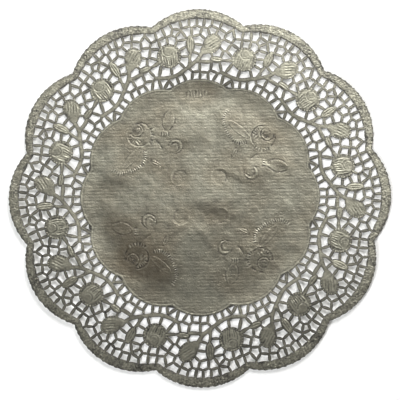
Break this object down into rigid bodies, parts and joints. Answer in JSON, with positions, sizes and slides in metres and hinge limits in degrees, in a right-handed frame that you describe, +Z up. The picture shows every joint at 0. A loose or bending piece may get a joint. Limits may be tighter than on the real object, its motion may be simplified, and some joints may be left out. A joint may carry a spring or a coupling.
{
  "type": "paper doily",
  "caption": "Round die-cut doily with a scalloped edge, an openwork border of flowers and leaves, and a plain middle with embossed sprays.",
  "frame": {"origin": "middle of the underside, on the surface that the sheet lies on", "axes": "+Z up from the embossed face, +Y towards the scallop at the top of the sheet, +X to its right"},
  "size_m": [0.3, 0.3, 0.002],
  "materials": {
    "foil_paper": "satin silver foil laminated on white paper, embossed"
  },
  "bodies": {
    "root": {"doily": "foil_paper"}
  },
  "joints": []
}
